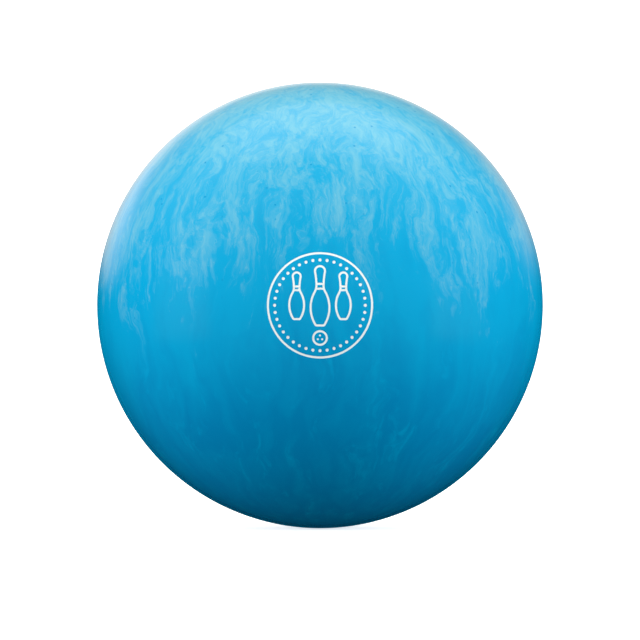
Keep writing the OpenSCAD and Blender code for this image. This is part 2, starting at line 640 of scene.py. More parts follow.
def turned_dots_tree():
    """Repeats a small turned shape round a circle and lays the ring of them on the ball."""
    tree, given, result = new_group(
        "Turned Dots",
        "GeometryNodeTree",
        [
            ("Profile", "NodeSocketGeometry", None),
            ("Sides", "NodeSocketInt", DOT_SIDES),
            ("Count", "NodeSocketInt", 1),
            ("Circle Radius", "NodeSocketFloat", 0.0),
            ("Turn", "NodeSocketFloat", 0.0),
            ("Centre Height", "NodeSocketFloat", 0.0),
            ("Ball Radius", "NodeSocketFloat", BALL_RADIUS),
            ("Material", "NodeSocketMaterial", None),
        ],
        [("Mesh", "NodeSocketGeometry")],
    )
    dot = turned_shape(tree, given["Profile"], given["Sides"])
    circle = put(
        tree, "GeometryNodeMeshCircle", vertices=given["Count"], radius=given["Circle Radius"]
    ).outputs[0]
    placed = put(
        tree,
        "GeometryNodeTransform",
        geometry=circle,
        translation=join(tree, 0.0, given["Centre Height"], 0.0),
        rotation=join(tree, 0.0, 0.0, given["Turn"]),
    ).outputs[0]
    dots = put(tree, "GeometryNodeInstanceOnPoints", points=placed, instance=dot).outputs[0]
    real = put(tree, "GeometryNodeRealizeInstances", geometry=dots).outputs[0]
    laid = laid_on_ball(tree, real, given["Ball Radius"])
    finished_output(tree, result, laid, given["Material"])
    return tree


def turned_part_tree():
    """Turns one part about an axis that leans back from the vertical by an angle."""
    tree, given, result = new_group(
        "Turned Part",
        "GeometryNodeTree",
        [
            ("Profile", "NodeSocketGeometry", None),
            ("Sides", "NodeSocketInt", PART_SIDES),
            ("Lean", "NodeSocketFloat", 0.0),
            ("Material", "NodeSocketMaterial", None),
        ],
        [("Mesh", "NodeSocketGeometry")],
    )
    turned = turned_shape(tree, given["Profile"], given["Sides"])
    leant = put(
        tree,
        "GeometryNodeTransform",
        geometry=turned,
        rotation=join(tree, product(tree, given["Lean"], -1.0), 0.0, 0.0),
    ).outputs[0]
    finished_output(tree, result, leant, given["Material"])
    return tree


def coverstock_tree():
    """A hollow ball with every cutter in a collection taken out of it."""
    tree, given, result = new_group(
        "Engraved Coverstock",
        "GeometryNodeTree",
        [
            ("Pin Hole", "NodeSocketGeometry", None),
            ("Ball Radius", "NodeSocketFloat", BALL_RADIUS),
            ("Core Radius", "NodeSocketFloat", CORE_RADIUS),
            ("Fineness", "NodeSocketInt", COVER_FINENESS),
            ("Cutters", "NodeSocketCollection", None),
            ("Material", "NodeSocketMaterial", None),
        ],
        [("Mesh", "NodeSocketGeometry")],
    )
    outside = put(
        tree, "GeometryNodeMeshIcoSphere", radius=given["Ball Radius"], subdivisions=given["Fineness"]
    ).outputs[0]
    inside = put(
        tree,
        "GeometryNodeMeshIcoSphere",
        radius=given["Core Radius"],
        subdivisions=calc(tree, "SUBTRACT", given["Fineness"], 1.0),
    ).outputs[0]
    tools = put(
        tree, "GeometryNodeCollectionInfo", collection=given["Cutters"], separate_children=True
    ).outputs[0]
    cut = put(
        tree,
        "GeometryNodeMeshBoolean",
        {"operation": "DIFFERENCE", "solver": "MANIFOLD"},
        mesh_1=outside,
        mesh_2=[inside, tools, given["Pin Hole"]],
    ).outputs[0]
    finished_output(tree, result, cut, given["Material"])
    return tree


# ---- Outlines and sections ----


def groove_section(half, depth, lip, steps=4):
    """Cross-section of an engraving cutter. Its second number is depth under the surface."""
    turns = [math.radians(-90 - 90 * i / steps) for i in range(steps + 1)]
    rounded = [(half + lip + lip * math.cos(t), lip + lip * math.sin(t)) for t in turns]
    right = [(half + lip, -CUTTER_OVERRUN), *rounded, (half, depth)]
    return right + [(-x, y) for x, y in reversed(right)]


def paint_section(half, depth, recess, creep, steps=6):
    """Cross-section of the paint in a groove: level in the middle and drawn up at the walls."""
    wide = half + PAINT_BED
    floor = depth + PAINT_BED
    across = [-1 + 2 * i / steps for i in range(steps + 1)]
    top = [(wide * t, recess - creep * t * t) for t in across]
    return top + [(wide, floor), (-wide, floor)]


def turning_section(name, points):
    """A half section to be turned, from (height, distance from the axis) pairs, axis to axis."""
    drawn = [(distance - TURNING_RADIUS, -height) for height, distance in points]
    return edge_path(name, drawn, closed=False)


def dot_cutter_section(radius, depth, lip, base=0.0, steps=4):
    """Half section of a cutter for a round hole with a softened edge, down from a base height."""
    turns = [math.radians(180 - 90 * i / steps) for i in range(steps + 1)]
    lipped = [(base - lip + lip * math.sin(t), radius + lip + lip * math.cos(t)) for t in turns]
    floor = base - depth
    top = base + CUTTER_OVERRUN
    return [(floor, 0.0), (floor, radius), *lipped, (top, radius + lip), (top, 0.0)]


def dot_paint_section(radius, depth, recess, creep, base=0.0, steps=5):
    """Half section of a dot of paint with a dished top, down from a base height."""
    wide = radius + PAINT_BED
    floor = base - depth - PAINT_BED
    inward = [1 - i / steps for i in range(steps + 1)]
    top = [(base - recess + creep * t * t, wide * t) for t in inward]
    return [(floor, 0.0), (floor, wide), *top]


def arc(centre_x, centre_y, radius, start, end, steps=12):
    """Points along an arc after its first one, between two angles in radians."""
    turns = [start + (end - start) * i / steps for i in range(1, steps + 1)]
    return [(centre_x + radius * math.cos(t), centre_y + radius * math.sin(t)) for t in turns]


def waist_radius(half, rise, radius):
    """Radius of a hollow that meets a bulge smoothly, from the widths where each is level."""
    return (half**2 + rise**2 - radius**2) / (2 * (radius - half))


def tenpin_side():
    """Right side of a ten-pin of height 1, from its foot to the top of its head."""
    belly_x = TENPIN_BELLY[0] - TENPIN_BELLY_RADIUS
    rise = TENPIN_NECK[1] - TENPIN_BELLY[1]
    low = waist_radius(TENPIN_NECK[0] - belly_x, rise, TENPIN_BELLY_RADIUS)
    high = waist_radius(TENPIN_NECK[0], TENPIN_HEAD[1] - TENPIN_NECK[1], TENPIN_HEAD[0])
    low_turn = math.atan2(rise, TENPIN_NECK[0] + low - belly_x)
    high_turn = math.atan2(TENPIN_NECK[1] - TENPIN_HEAD[1], TENPIN_NECK[0] + high)
    foot_turn = -math.asin(TENPIN_BELLY[1] / TENPIN_BELLY_RADIUS)
    foot = (belly_x + TENPIN_BELLY_RADIUS * math.cos(foot_turn), 0.0)
    return [
        foot,
        *arc(belly_x, TENPIN_BELLY[1], TENPIN_BELLY_RADIUS, foot_turn, low_turn),
        *arc(TENPIN_NECK[0] + low, TENPIN_NECK[1], low, math.pi + low_turn, math.pi),
        *arc(TENPIN_NECK[0] + high, TENPIN_NECK[1], high, math.pi, math.pi + high_turn),
        *arc(0.0, TENPIN_HEAD[1], TENPIN_HEAD[0], high_turn, math.pi / 2),
    ]


def half_width_at(side, height):
    """Half the width of a side's outline at a height, between its points."""
    for (x0, y0), (x1, y1) in zip(side, side[1:]):
        if y0 <= height <= y1:
            return x0 + (x1 - x0) * (height - y0) / (y1 - y0)
    raise RuntimeError(f"the outline doesn't reach a height of {height}")


def tenpin_paths(name, centre_x, foot, height):
    """Paths of one ten-pin figure: its outline, then its two neck stripes."""
    side = tenpin_side()
    whole = side + [(-x, y) for x, y in reversed(side[:-1])]
    outline = [(centre_x + height * x, foot + height * y) for x, y in whole]
    paths = [edge_path(name + "_outline", outline, closed=True)]
    for stripe in TENPIN_STRIPES:
        reach = height * half_width_at(side, stripe)
        level = foot + height * stripe
        ends = [(centre_x - reach, level), (centre_x + reach, level)]
        paths.append(edge_path(name + "_stripe", ends, closed=False))
    return paths


def circle_path(name, centre_y, radius, sides):
    """A closed round path about a point on the emblem's upright middle line."""
    turns = [math.tau * i / sides for i in range(sides)]
    points = [(radius * math.cos(t), centre_y + radius * math.sin(t)) for t in turns]
    return edge_path(name, points, closed=True)


# ---- Surface detail that materials share ----


def handling_haze_group():
    """Faint polish swirls and handling haze: a roughness and a height for a bump."""
    tree, given, result = new_group(
        "Handling Haze",
        "ShaderNodeTree",
        [
            ("Roughness", "NodeSocketFloat", 0.2),
            ("Spread", "NodeSocketFloat", 0.05),
            ("Grain", "NodeSocketFloat", 900.0),
        ],
        [("Roughness", "NodeSocketFloat"), ("Height", "NodeSocketFloat")],
    )
    place = put(tree, "ShaderNodeTexCoord").outputs["Object"]
    haze = cloud(tree, place, 28.0, detail=4.0, roughness=0.6)[0]
    fine = cloud(tree, place, given["Grain"], detail=2.0)[0]
    scuffs = cloud(tree, stretched(tree, place, 6.0), 160.0, detail=2.0)[0]
    rubbed = graded(tree, scuffs, 0.62, 0.74, 0.0, 0.35)
    uneven = calc(tree, "ADD", calc(tree, "SUBTRACT", haze, 0.5), rubbed)
    rough = calc(tree, "MULTIPLY_ADD", uneven, given["Spread"], given["Roughness"])
    height = calc(tree, "MULTIPLY_ADD", haze, 0.3, product(tree, fine, 0.7))
    tree.links.new(rough, result.inputs["Roughness"])
    tree.links.new(height, result.inputs["Height"])
    return tree


def cast_resin_group():
    """Filler specks, tiny bubbles and flow marks of plain cast resin."""
    tree, given, result = new_group(
        "Cast Resin",
        "ShaderNodeTree",
        [
            ("Base Color", "NodeSocketColor", (0.6, 0.6, 0.55, 1.0)),
            ("Speck Color", "NodeSocketColor", (0.3, 0.3, 0.28, 1.0)),
            ("Speck Scale", "NodeSocketFloat", 400.0),
        ],
        [("Color", "NodeSocketColor"), ("Roughness", "NodeSocketFloat"), ("Height", "NodeSocketFloat")],
    )
    place = put(tree, "ShaderNodeTexCoord").outputs["Object"]
    flow = cloud(tree, place, 18.0, detail=4.0, roughness=0.6, distortion=0.8)[0]
    specks = put(tree, "ShaderNodeTexVoronoi", vector=place, scale=given["Speck Scale"])
    grain = graded(tree, specks.outputs["Distance"], 0.12, 0.26, 1.0, 0.0)
    cloudy = graded(tree, flow, 0.3, 0.7, 0.0, 0.25)
    shaded = blended(tree, cloudy, given["Base Color"], given["Speck Color"])
    color = blended(tree, product(tree, grain, 0.6), shaded, given["Speck Color"])
    pits = product(tree, grain, 0.5)
    tree.links.new(color, result.inputs["Color"])
    tree.links.new(graded(tree, flow, 0.2, 0.8, 0.45, 0.65), result.inputs["Roughness"])
    tree.links.new(calc(tree, "SUBTRACT", flow, pits), result.inputs["Height"])
    return tree


def side_push(tree, place, scale, detail, reach):
    """A push to either side that wanders with noise."""
    wander = cloud(tree, place, scale, detail=detail)[1]
    centred = vector_calc(tree, "SUBTRACT", wander, (0.5, 0.5, 0.5))
    return scaled(tree, centred, reach)


def poured_flow(tree, outward):
    """Place in the poured resin: drawn out along the axis, opened out at the poles, bent by noise."""
    x, y, z = split(tree, outward)
    level = calc(tree, "SQRT", calc(tree, "ADD", product(tree, x, x), product(tree, y, y)))
    pull = calc(tree, "POWER", calc(tree, "ADD", level, POLE_EASE), POLE_SPREAD)
    flow = join(
        tree,
        calc(tree, "DIVIDE", x, pull),
        calc(tree, "DIVIDE", y, pull),
        product(tree, z, FLOW_STRETCH),
    )
    broad = side_push(tree, outward, *BROAD_BEND)
    curls = side_push(tree, flow, *CURL_BEND)
    eddies = side_push(tree, outward, *EDDY_BEND)
    bent = vector_calc(tree, "ADD", flow, broad)
    bent = vector_calc(tree, "ADD", bent, curls)
    return vector_calc(tree, "ADD", bent, eddies)


def height_over_edge(tree, outward):
    """Height over the pearl's lower edge, which arches up in front and behind and has lobes."""
    x, _, z = split(tree, outward)
    lobes = cloud(tree, stretched(tree, outward, 0.0), LOBE_SCALE, detail=2.0)[0]
    arch = graded(tree, calc(tree, "ABSOLUTE", x), *FRINGE_ARCH)
    edge = calc(tree, "MULTIPLY_ADD", calc(tree, "SUBTRACT", lobes, 0.5), LOBE_REACH, arch)
    return calc(tree, "SUBTRACT", z, edge)


def pearl_cloud(tree, place, wisp_scale, scale, detail, roughness):
    """Pearl noise at one size, tied to the swirl's own scale."""
    return cloud(tree, place, product(tree, wisp_scale, scale), detail=detail, roughness=roughness)[0]


def pearl_shown(tree, masses, tongues, thick, above):
    """How strongly the pearl shows: wisps with folds in them, denser hearts, threads and a milky cast
    towards the top, which is partly the pearl's own milkiness and partly painted sheen of the light from
    above.
    """
    wisp = graded(tree, thick, *WISP_RANGE)
    heart = graded(tree, thick, *HEART_RANGE)
    folds = calc(tree, "SINE", product(tree, masses, FOLD_DENSITY))
    folded = product(tree, wisp, graded(tree, folds, -1.0, 1.0, *FOLD_SHOW))
    waves = calc(tree, "ABSOLUTE", calc(tree, "SINE", product(tree, tongues, THREAD_DENSITY)))
    contours = graded(tree, waves, 0.0, THREAD_WIDTH, 1.0, 0.0)
    threads = product(tree, contours, graded(tree, thick, *THREAD_RANGE))
    shown = calc(tree, "MULTIPLY_ADD", heart, HEART_SHOW, folded)
    shown = calc(tree, "MULTIPLY_ADD", threads, THREAD_SHOW, shown)
    # Painted sheen: a smooth milky pearl cast that grows towards the top, standing in partly for the
    # light from above.
    shown = calc(tree, "ADD", shown, graded(tree, above, *MILKY_CAST_AND_PAINTED_SHEEN), clamp=True)
    return product(tree, shown, graded(tree, above, *LAST_PEARL))


def plain_specks(tree, outward):
    """Small round specks, each in one of a few chosen cells."""
    cells = put(tree, "ShaderNodeTexVoronoi", vector=outward, scale=SPECK_SCALE)
    chosen = graded(tree, split(tree, cells.outputs["Color"])[0], *SPECK_CHOICE)
    return product(tree, graded(tree, cells.outputs["Distance"], *SPECK_FADE), chosen)


def pearl_swirl_group():
    """Pearl resin dragged down through deep blue resin, thick near the top and torn to a fringe."""
    tree, given, result = new_group(
        "Pearl Swirl",
        "ShaderNodeTree",
        [
            ("Deep", "NodeSocketColor", opaque(DEEP_BLUE)),
            ("Bright", "NodeSocketColor", opaque(BRIGHT_BLUE)),
            ("Pearl", "NodeSocketColor", opaque(PEARL_BLUE)),
            ("Wisp Scale", "NodeSocketFloat", WISP_SCALE),
        ],
        [("Color", "NodeSocketColor")],
    )
    outward = vector_calc(tree, "NORMALIZE", put(tree, "ShaderNodeTexCoord").outputs["Object"])
    height = split(tree, outward)[2]
    bent = poured_flow(tree, outward)
    above = height_over_edge(tree, outward)

    # Thickness of the pearl: its masses, the tongues they are torn into and fine smoke.
    drawn_out = stretched(tree, bent, TONGUE_STRETCH)
    masses = pearl_cloud(tree, bent, given["Wisp Scale"], *MASSES)
    tongues = pearl_cloud(tree, drawn_out, given["Wisp Scale"], *TONGUES)
    smoke = pearl_cloud(tree, drawn_out, given["Wisp Scale"], *SMOKE)
    mixed = product(tree, masses, MASSES_SHARE)
    mixed = calc(tree, "MULTIPLY_ADD", tongues, TONGUES_SHARE, mixed)
    mixed = calc(tree, "MULTIPLY_ADD", smoke, SMOKE_SHARE, mixed)
    thinning = graded(tree, above, *FRINGE_THINNING)
    gathering = graded(tree, height, *TOP_GATHERING)
    thick = calc(tree, "ADD", mixed, calc(tree, "ADD", thinning, gathering))

    # The plain resin under it, deeper low down and streaked along the flow.
    streaks = cloud(tree, stretched(tree, bent, STREAK_STRETCH), STREAK_SCALE, detail=STREAK_DETAIL)[0]
    uneven = calc(tree, "SUBTRACT", streaks, 0.5)
    clearing = graded(tree, above, *PLAIN_CLEARING)
    clearing = calc(tree, "MULTIPLY_ADD", uneven, STREAK_SHOW, clearing, clamp=True)
    plain = blended(tree, clearing, given["Deep"], given["Bright"])

    veil = graded(tree, thick, *VEIL_RANGE)
    veiled = blended(tree, veil, plain, given["Bright"])
    shown = pearl_shown(tree, masses, tongues, thick, above)
    swirled = blended(tree, shown, veiled, given["Pearl"])
    specks = product(tree, plain_specks(tree, outward), veil)
    tree.links.new(blended(tree, specks, swirled, given["Deep"]), result.inputs["Color"])
    return tree


GROUP_MAKERS = {
    "Engraved Line": engraved_line_tree,
    "Turned Dots": turned_dots_tree,
    "Turned Part": turned_part_tree,
    "Engraved Coverstock": coverstock_tree,
    "Handling Haze": handling_haze_group,
    "Cast Resin": cast_resin_group,
    "Pearl Swirl": pearl_swirl_group,
}


def shared_group(name):
    """A node group, built the first time it is asked for."""
    return bpy.data.node_groups.get(name) or GROUP_MAKERS[name]()


# ---- Materials ----


def new_material(name, display):
    """A material with only a Principled BSDF. Returns the material, its tree and the shader."""
    material = bpy.data.materials.new(name)
    material.use_nodes = True
    material.diffuse_color = opaque(display)
    tree = material.node_tree
    tree.nodes.clear()
    surface = tree.nodes.new("ShaderNodeBsdfPrincipled")
    output = tree.nodes.new("ShaderNodeOutputMaterial")
    tree.links.new(surface.outputs["BSDF"], output.inputs["Surface"])
    return material, tree, surface


def give_bump(tree, surface, height, strength, distance):
    """Feeds a height to the shader's normal."""
    bump = put(tree, "ShaderNodeBump", strength=strength, distance=distance, height=height)
    tree.links.new(bump.outputs["Normal"], surface.inputs["Normal"])


def pearl_resin_material(resin):
    """Polished cover resin."""
    material, tree, surface = new_material("pearl_resin", resin.bright)
    swirl = use_group(
        tree,
        shared_group("Pearl Swirl"),
        deep=opaque(resin.deep),
        bright=opaque(resin.bright),
        pearl=opaque(resin.pearl),
        wisp_scale=resin.wisp_scale,
    )
    haze = use_group(tree, shared_group("Handling Haze"), roughness=0.13, spread=0.05, grain=1400.0)
    tree.links.new(swirl["Color"], surface.inputs["Base Color"])
    tree.links.new(haze["Roughness"], surface.inputs["Roughness"])
    surface.inputs["IOR"].default_value = 1.5
    surface.inputs["Coat Weight"].default_value = 0.4
    surface.inputs["Coat Roughness"].default_value = 0.06
    give_bump(tree, surface, haze["Height"], 0.05, 0.02 * MM)
    return material


def emblem_paint_material():
    """White paint, brushed into the engraving and wiped level."""
    material, tree, surface = new_material("emblem_paint", (0.9, 0.93, 0.95))
    place = put(tree, "ShaderNodeTexCoord").outputs["Object"]
    thin = cloud(tree, place, 420.0, detail=3.0)[0]
    worn = graded(tree, thin, 0.4, 0.75, 0.0, 0.35)
    tint = blended(tree, worn, PAINT_WHITE, THIN_PAINT)
    haze = use_group(tree, shared_group("Handling Haze"), roughness=0.45, spread=0.15, grain=2600.0)
    tree.links.new(tint, surface.inputs["Base Color"])
    tree.links.new(haze["Roughness"], surface.inputs["Roughness"])
    give_bump(tree, surface, haze["Height"], 0.15, 0.03 * MM)
    return material


def locator_pin_material():
    """Off-white pin plastic, polished with the cover."""
    material, tree, surface = new_material("locator_pin_plastic", (0.85, 0.85, 0.8))
    place = put(tree, "ShaderNodeTexCoord").outputs["Object"]
    mottle = cloud(tree, place, 300.0, detail=4.0, roughness=0.6)[0]
    darker = graded(tree, mottle, 0.35, 0.7)
    tint = blended(tree, darker, PIN_PALE, PIN_DARK)
    haze = use_group(tree, shared_group("Handling Haze"), roughness=0.28, spread=0.08, grain=1400.0)
    tree.links.new(tint, surface.inputs["Base Color"])
    tree.links.new(haze["Roughness"], surface.inputs["Roughness"])
    give_bump(tree, surface, haze["Height"], 0.08, 0.02 * MM)
    return material


def cast_material(name, base, speck, speck_scale):
    """Plain cast resin of a hidden piece."""
    material, tree, surface = new_material(name, base)
    cast = use_group(
        tree,
        shared_group("Cast Resin"),
        base_color=opaque(base),
        speck_color=opaque(speck),
        speck_scale=speck_scale,
    )
    tree.links.new(cast["Color"], surface.inputs["Base Color"])
    tree.links.new(cast["Roughness"], surface.inputs["Roughness"])
    give_bump(tree, surface, cast["Height"], 0.3, 0.1 * MM)
    return material


def kept(name, maker, *values):
    """A material by name, made the first time it is asked for."""
    return bpy.data.materials.get(name) or maker(*values)


# ---- Work that operators share ----


def settings(context):
    """The ball's settings in this scene."""
    return context.scene.bowling_ball


def sweep_paths(paths, section_points, name, material, corner_radius):
    """Sweeps one section along each path. Returns the plain mesh objects."""
    section = edge_path("section", section_points, closed=True)
    made = [
        grown_by(
            shared_group("Engraved Line"),
            path,
            name,
            section=section,
            corner_radius=corner_radius,
            ball_radius=BALL_RADIUS,
            material=material,
        )
        for path in paths
    ]
    discard(section, *paths)
    return made


def ring_of_dots(profile, name, material, count, circle_radius, turn=0.0, centre_height=0.0):
    """Turns a profile, repeats it round a circle and lays it on the ball."""
    source = turning_section("section", profile)
    made = grown_by(
        shared_group("Turned Dots"),
        source,
        name,
        sides=DOT_SIDES,
        count=count,
        circle_radius=circle_radius,
        turn=turn,
        centre_height=centre_height,
        ball_radius=BALL_RADIUS,
        material=material,
    )
    discard(source)
    return made


def dimple_ring(profile, name, material):
    """The finger holes of the small ball figure, each with the profile given."""
    return ring_of_dots(
        profile,
        name,
        material,
        DIMPLE_COUNT,
        DIMPLE_DISTANCE,
        turn=DIMPLE_TURN,
        centre_height=box_centre("figure_ball_paint").z,
    )


def turned_piece(profile, name, material, sides=PART_SIDES, lean=0.0):
    """Turns a profile into one part on an axis that leans back by an angle."""
    tree = shared_group("Turned Part")
    source = turning_section("section", profile)
    made = grown_by(tree, source, name, sides=sides, lean=lean, material=material)
    discard(source)
    return made


def ring_paths(sizes):
    """Path of the emblem's plain ring."""
    radius = box_size("ring_paint").x / 2 - sizes.line_width / 2
    return [circle_path("ring", 0.0, radius, RING_SIDES)]


def figure_ball_paths(sizes):
    """Path of the small ball's outline under the figures."""
    radius = box_size("figure_ball_paint").x / 2 - sizes.line_width / 2
    centre = box_centre("figure_ball_paint").z
    return [circle_path("figure_ball", centre, radius, FIGURE_BALL_SIDES)]


def figure_paths(node, sizes):
    """Paths of the ten-pin figure whose CAD node is named."""
    low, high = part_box(node)
    height = high.z - low.z - sizes.line_width
    return tenpin_paths(node, (low.x + high.x) / 2, low.z + sizes.line_width / 2, height)


def bead_circle(sizes):
    """Radius of the circle that the beads' middles lie on."""
    return (box_size("bead_paint").z - sizes.bead_diameter) / 2


def cg_mark_place():
    """Radius of the centre of gravity mark, and the angle its axis leans back from the vertical."""
    middle = box_centre("cg_mark_paint")
    return box_size("cg_mark_paint").x / 2, math.atan2(middle.y, middle.z)


def pin_crown(radius):
    """Height at which a round pin on the vertical axis reaches the ball's surface."""
    return math.sqrt(BALL_RADIUS**2 - radius**2)


def paint_fill(sizes):
    """Depth, recess and creep of the paint in a groove."""
    return sizes.depth, sizes.paint_recess, sizes.paint_creep


def engraving_cutters(sizes, material):
    """The cutters of every groove: the lines, the beads, the dimples and the centre of gravity mark."""
    section = groove_section(sizes.line_width / 2, sizes.depth, sizes.lip)
    paths = ring_paths(sizes) + figure_ball_paths(sizes)
    for node in TENPIN_NODES:
        paths += figure_paths(node, sizes)
    cutters = sweep_paths(paths, section, "cutter", material, sizes.corner_radius)

    bead = dot_cutter_section(sizes.bead_diameter / 2, sizes.depth, sizes.lip)
    cutters.append(ring_of_dots(bead, "cutter", material, sizes.bead_count, bead_circle(sizes)))
    dimple = dot_cutter_section(DIMPLE_RADIUS, sizes.depth, sizes.lip / 2)
    cutters.append(dimple_ring(dimple, "cutter", material))
    mark_radius, lean = cg_mark_place()
    mark = dot_cutter_section(mark_radius, sizes.depth, sizes.lip, base=BALL_RADIUS)
    cutters.append(turned_piece(mark, "cutter", material, sides=MARK_SIDES, lean=lean))
    return cutters


def pin_hole_cutter(material):
    """The cutter of the hole that the locator pin's shank fills."""
    radius = box_size("locator_pin").x / 2
    depth = BALL_RADIUS - CORE_RADIUS + CUTTER_OVERRUN
    section = dot_cutter_section(radius, depth, PIN_EDGE, base=pin_crown(radius))
    return turned_piece(section, "pin_hole", material)


def one_piece(parts, name):
    """Welds overlapping parts into a single closed mesh."""
    first, *others = parts
    for other in others:
        union = first.modifiers.new("weld", "BOOLEAN")
        union.operation = "UNION"
        union.solver = "MANIFOLD"
        union.object = other
    made = plain_copy(first, name)
    discard(*parts)
    return made


def put_on_ball(piece, node):
    """Shows a piece in place of its CAD node, moving with the ball."""
    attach(piece, BODY)
    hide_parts(node)


def polish(mesh):
    """Gives the ball's outside the exact shading of a sphere, right up to each rounded lip."""
    places = np.empty(len(mesh.vertices) * 3, dtype=np.float32)
    mesh.vertices.foreach_get("co", places)
    corner_vertex = np.empty(len(mesh.loops), dtype=np.int32)
    mesh.loops.foreach_get("vertex_index", corner_vertex)
    smooth = np.empty(len(mesh.loops) * 3, dtype=np.float32)
    mesh.corner_normals.foreach_get("vector", smooth)
    face_normal = np.empty(len(mesh.polygons) * 3, dtype=np.float32)
    mesh.polygons.foreach_get("normal", face_normal)
    face_corners = np.empty(len(mesh.polygons), dtype=np.int32)
    mesh.polygons.foreach_get("loop_total", face_corners)

    corners = places.reshape(-1, 3)[corner_vertex]
    reach = np.linalg.norm(corners, axis=1)
    outward = corners / reach[:, None]
    facing = (np.repeat(face_normal.reshape(-1, 3), face_corners, axis=0) * outward).sum(axis=1)
    on_skin = (np.abs(reach - BALL_RADIUS) < SKIN_DEPTH) & (facing > math.cos(SKIN_ANGLE))
    given = np.where(on_skin[:, None], outward, smooth.reshape(-1, 3))
    mesh.normals_split_custom_set(given.tolist())


# ---- Operators ----


class BALL_OT_coverstock(bpy.types.Operator):
    """Build the hollow coverstock with its engraving, pin hole and swirled resin"""

    bl_idname = "ball.coverstock"
    bl_label = "Coverstock"

    def execute(self, context):
        resin = kept("pearl_resin", pearl_resin_material, settings(context).resin)
        cutters = engraving_cutters(settings(context).engraving, resin)
        pin_hole = pin_hole_cutter(resin)
        gathered = bpy.data.collections.new("Cutters")
        for cutter in cutters:
            gathered.objects.link(cutter)
        cover = grown_by(
            shared_group("Engraved Coverstock"),
            pin_hole,
            "swirled_coverstock",
            ball_radius=BALL_RADIUS,
            core_radius=CORE_RADIUS,
            fineness=COVER_FINENESS,
            cutters=gathered,
            material=resin,
        )
        discard(pin_hole, *cutters)
        bpy.data.collections.remove(gathered)
        cover.data.set_sharp_from_angle(angle=SHARP_ANGLE)
        polish(cover.data)
        put_on_ball(cover, "coverstock")
        return {"FINISHED"}


class BALL_OT_locator_pin(bpy.types.Operator):
    """Build the locator pin, with its stepped tip and its crown polished to the ball's curve"""

    bl_idname = "ball.locator_pin"
    bl_label = "Locator Pin"

    def execute(self, context):
        material = kept("locator_pin_plastic", locator_pin_material)
        shank = box_size("locator_pin").x / 2
        shoulder = PIN_BOTTOM + PIN_TIP_LENGTH
        inward = [1 - i / PIN_CROWN_STEPS for i in range(PIN_CROWN_STEPS + 1)]
        crown_reach = [(shank - PIN_EDGE) * share for share in inward]
        profile = [
            (PIN_BOTTOM, 0.0),
            (PIN_BOTTOM, PIN_TIP_RADIUS),
            (shoulder, PIN_TIP_RADIUS),
            (shoulder, shank),
            (pin_crown(shank) - PIN_EDGE, shank),
            *[(pin_crown(reach), reach) for reach in crown_reach],
        ]
        pin = turned_piece(profile, "polished_locator_pin", material)
        put_on_ball(pin, "locator_pin")
        return {"FINISHED"}


class BALL_OT_emblem_paint(bpy.types.Operator):
    """Fill the emblem's grooves with white paint, one piece for each figure"""

    bl_idname = "ball.emblem_paint"
    bl_label = "Emblem Paint"

    def execute(self, context):
        sizes = settings(context).engraving
        paint = kept("emblem_paint", emblem_paint_material)
        fill = paint_fill(sizes)
        section = paint_section(sizes.line_width / 2, *fill)

        (ring,) = sweep_paths(ring_paths(sizes), section, "ring_line", paint, 0.0)
        put_on_ball(ring, "ring_paint")
        for node in TENPIN_NODES:
            lines = sweep_paths(figure_paths(node, sizes), section, "line", paint, sizes.corner_radius)
            figure = one_piece(lines, node.replace("_paint", "_lines"))
            put_on_ball(figure, node)

        bead = dot_paint_section(sizes.bead_diameter / 2, *fill)
        beads = ring_of_dots(bead, "bead_dots", paint, sizes.bead_count, bead_circle(sizes))
        put_on_ball(beads, "bead_paint")

        outline = sweep_paths(figure_ball_paths(sizes), section, "line", paint, 0.0)
        dimples = dimple_ring(dot_paint_section(DIMPLE_RADIUS, *fill), "dots", paint)
        figure_ball = one_piece([*outline, dimples], "figure_ball_lines")
        put_on_ball(figure_ball, "figure_ball_paint")
        return {"FINISHED"}


class BALL_OT_cg_mark(bpy.types.Operator):
    """Paint the small dot that marks the centre of gravity"""

    bl_idname = "ball.cg_mark"
    bl_label = "Centre of Gravity Mark"

    def execute(self, context):
        sizes = settings(context).engraving
        paint = kept("emblem_paint", emblem_paint_material)
        radius, lean = cg_mark_place()
        profile = dot_paint_section(radius, *paint_fill(sizes), base=BALL_RADIUS)
        mark = turned_piece(profile, "cg_dot", paint, sides=MARK_SIDES, lean=lean)
        put_on_ball(mark, "cg_mark_paint")
        return {"FINISHED"}


class BALL_OT_core_finish(bpy.types.Operator):
    """Give the outer core and the weight block their cast resins"""

    bl_idname = "ball.core_finish"
    bl_label = "Core Finish"

    def execute(self, context):
        for node, (name, base, speck, scale) in CAST_RESINS.items():
            material = kept(name, cast_material, name, base, speck, scale)
            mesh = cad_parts[node].data
            mesh.materials.clear()
            mesh.materials.append(material)
        return {"FINISHED"}


def soft_light(name, place, size, power):
    """A rectangular area light pointed at the middle of the ball."""
    data = bpy.data.lights.new(name, "AREA")
    data.shape = "RECTANGLE"
    data.size, data.size_y = size
    data.energy = power
    light = bpy.data.objects.new(name, data)
    light.location = place
    aim = Vector(BALL_CENTRE) - Vector(place)
    light.rotation_euler = aim.to_track_quat("-Z", "Y").to_euler()
    bpy.context.collection.objects.link(light)
    return light


